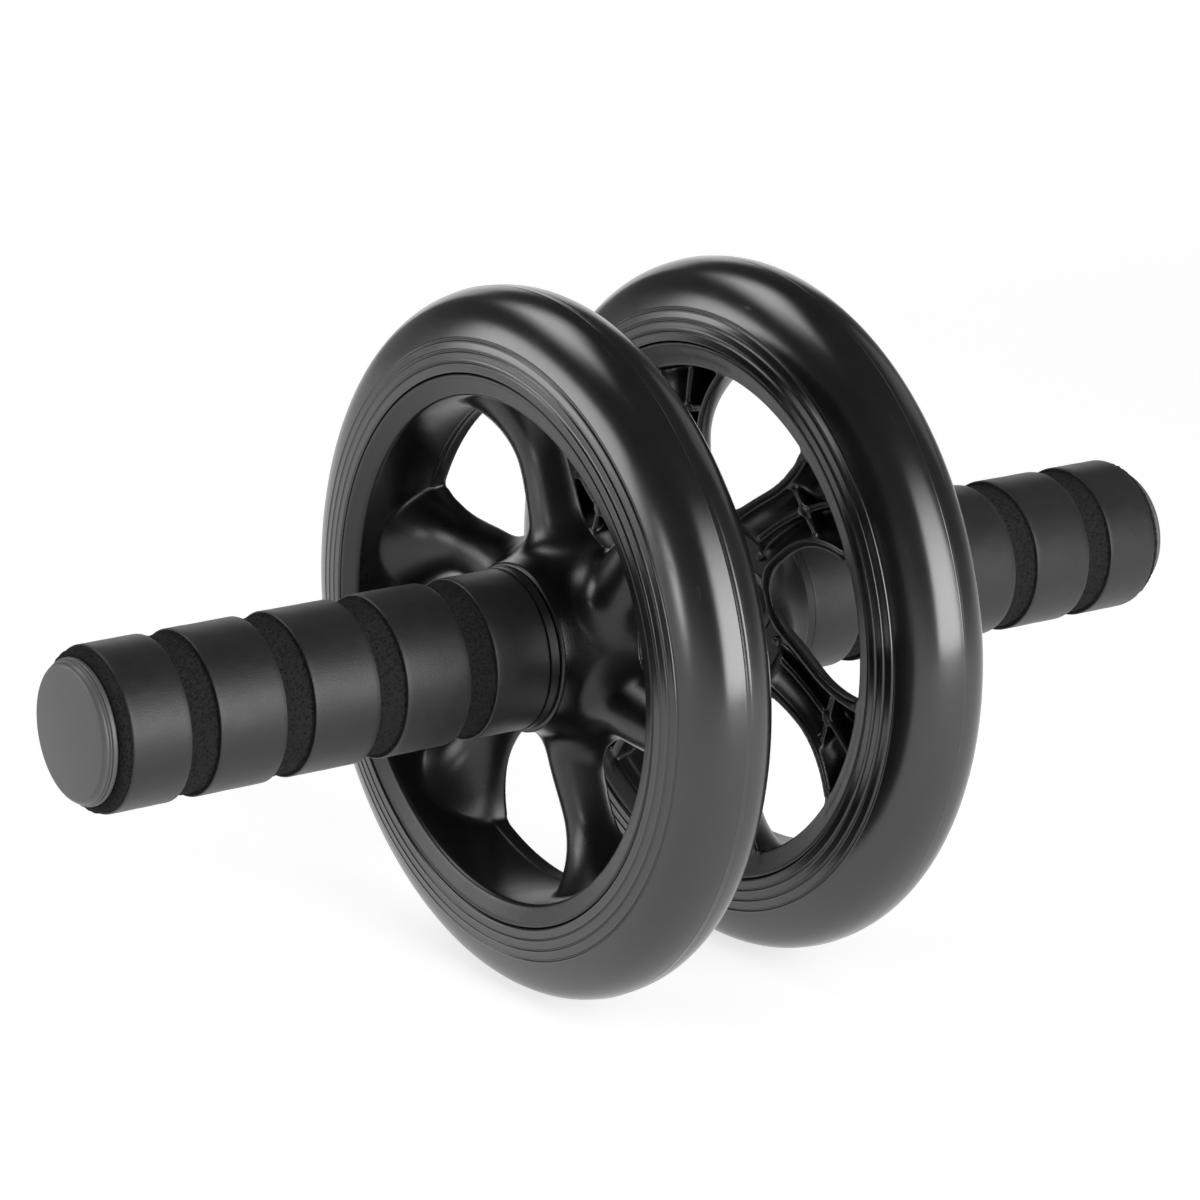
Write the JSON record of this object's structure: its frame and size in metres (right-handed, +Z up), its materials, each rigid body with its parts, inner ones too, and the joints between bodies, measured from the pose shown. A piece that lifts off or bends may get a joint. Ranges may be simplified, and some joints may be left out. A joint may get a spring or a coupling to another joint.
{
  "type": "ab wheel roller",
  "caption": "Twin-wheel exercise roller: spoked wheels with round-crowned tyres turn freely on one axle between two banded foam handles.",
  "frame": {"origin": "middle of the axle, on its centre line, halfway between the two wheels", "axes": "+X along the axle towards the right handle, +Z up; the wheels stand on the plane Z = -0.09"},
  "size_m": [0.3272, 0.18, 0.18],
  "materials": {
    "rod_steel": "bright drawn rod",
    "tube_steel": "satin, lightly oiled",
    "rim_plastic": "black moulding, soft gloss",
    "tyre_rubber": "black, glossy moulded skin",
    "nylon": "natural white, matt",
    "core_plastic": "black, satin",
    "foam": "dark grey skinned foam, satin, open cells in the bands",
    "zinc_steel": "zinc plated",
    "cap_plastic": "dark grey, satin, fine grain"
  },
  "bodies": {
    "axle": {"axle_rod": "rod_steel", "centre_spacer": "tube_steel", "left_thrust_washer": "nylon", "right_thrust_washer": "nylon", "left_handle_core": "core_plastic", "right_handle_core": "core_plastic", "left_foam_grip": "foam", "right_foam_grip": "foam", "left_axle_washer": "zinc_steel", "right_axle_washer": "zinc_steel", "left_axle_nut": "zinc_steel", "right_axle_nut": "zinc_steel", "left_end_cap": "cap_plastic", "right_end_cap": "cap_plastic"},
    "left_wheel": {"left_rim": "rim_plastic", "left_tyre": "tyre_rubber", "left_hub_bush": "nylon"},
    "right_wheel": {"right_rim": "rim_plastic", "right_tyre": "tyre_rubber", "right_hub_bush": "nylon"}
  },
  "joints": [
    {"name": "left_wheel_spin", "type": "hinge", "parent": "axle", "child": "left_wheel", "pos_m": [-0.0323, 0, 0], "axis": [1, 0, 0], "continuous": true},
    {"name": "right_wheel_spin", "type": "hinge", "parent": "axle", "child": "right_wheel", "pos_m": [0.0323, 0, 0], "axis": [1, 0, 0], "continuous": true}
  ]
}
